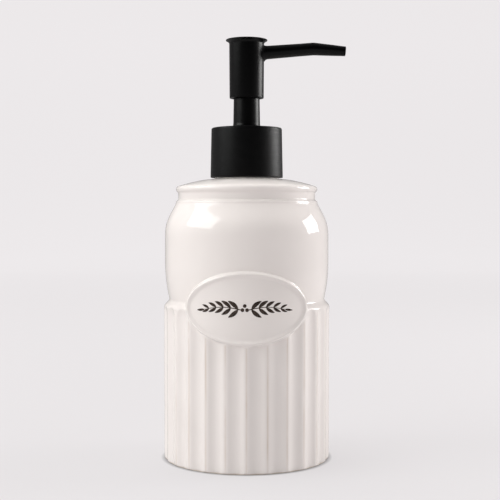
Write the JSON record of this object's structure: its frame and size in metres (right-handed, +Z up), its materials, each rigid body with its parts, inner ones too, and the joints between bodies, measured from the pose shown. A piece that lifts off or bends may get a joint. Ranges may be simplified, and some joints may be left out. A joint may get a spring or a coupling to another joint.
{
  "type": "soap pump dispenser",
  "caption": "White glazed ceramic soap bottle with a fluted lower body and a blank oval plaque, topped by a satin black press pump with a swivelling spout.",
  "frame": {"origin": "centre of the bottle's underside, on the bottle's axis, in the plane that it stands on", "axes": "+Z up along the bottle's axis; +X along the spout at rest; the plaque faces -Y"},
  "size_m": [0.0827, 0.0769, 0.1905],
  "materials": {
    "glaze": "gloss",
    "black_metal": "satin",
    "black_plastic": "satin",
    "natural_plastic": "satin",
    "clear_tube": "gloss",
    "seal_rubber": "matte",
    "steel": "bright"
  },
  "bodies": {
    "bottle": {"ceramic_bottle": "glaze", "neck_insert": "natural_plastic"},
    "pump": {"neck_gasket": "seal_rubber", "pump_cylinder": "natural_plastic", "stem_guide_collar": "black_plastic", "stem_wiper": "seal_rubber", "ball_cage": "natural_plastic", "dip_tube": "clear_tube"},
    "closure": {"closure_shell": "black_metal", "closure_liner": "natural_plastic"},
    "spring": {"return_spring": "steel"},
    "actuator": {"head_shell": "black_metal", "head_cap": "black_metal", "head_core": "natural_plastic", "spout": "black_metal", "spout_tip": "black_plastic", "stem": "black_plastic", "piston_rod": "natural_plastic"},
    "piston": {"piston": "natural_plastic"},
    "inlet_ball": {"inlet_ball": "steel"}
  },
  "joints": [
    {"name": "pump_rise", "type": "slide", "parent": "bottle", "child": "pump", "axis": [0, 0, 1], "range_m": [0, 0.00634]},
    {"name": "closure_turn", "type": "hinge", "parent": "pump", "child": "closure", "pos_m": [0, 0, 0.14], "axis": [0, 0, 1], "range_deg": [0, 540]},
    {"name": "head_press", "type": "slide", "parent": "pump", "child": "spring", "axis": [0, 0, -1], "range_m": [0, 0.011], "stiffness_N_per_m": 700, "springref_m": -0.006, "deforming": ["return_spring"]},
    {"name": "head_swivel", "type": "hinge", "parent": "spring", "child": "actuator", "pos_m": [0, 0, 0.16], "axis": [0, 0, 1], "continuous": true},
    {"name": "piston_slip", "type": "slide", "parent": "actuator", "child": "piston", "axis": [0, 0, 1], "range_m": [0, 0.0008]},
    {"name": "ball_lift", "type": "slide", "parent": "pump", "child": "inlet_ball", "axis": [0, 0, 1], "range_m": [0, 0.0015]}
  ],
  "couplings": [
    {"joint": "closure_turn", "follows": "pump_rise", "rad_per_m": 1484.2}
  ]
}
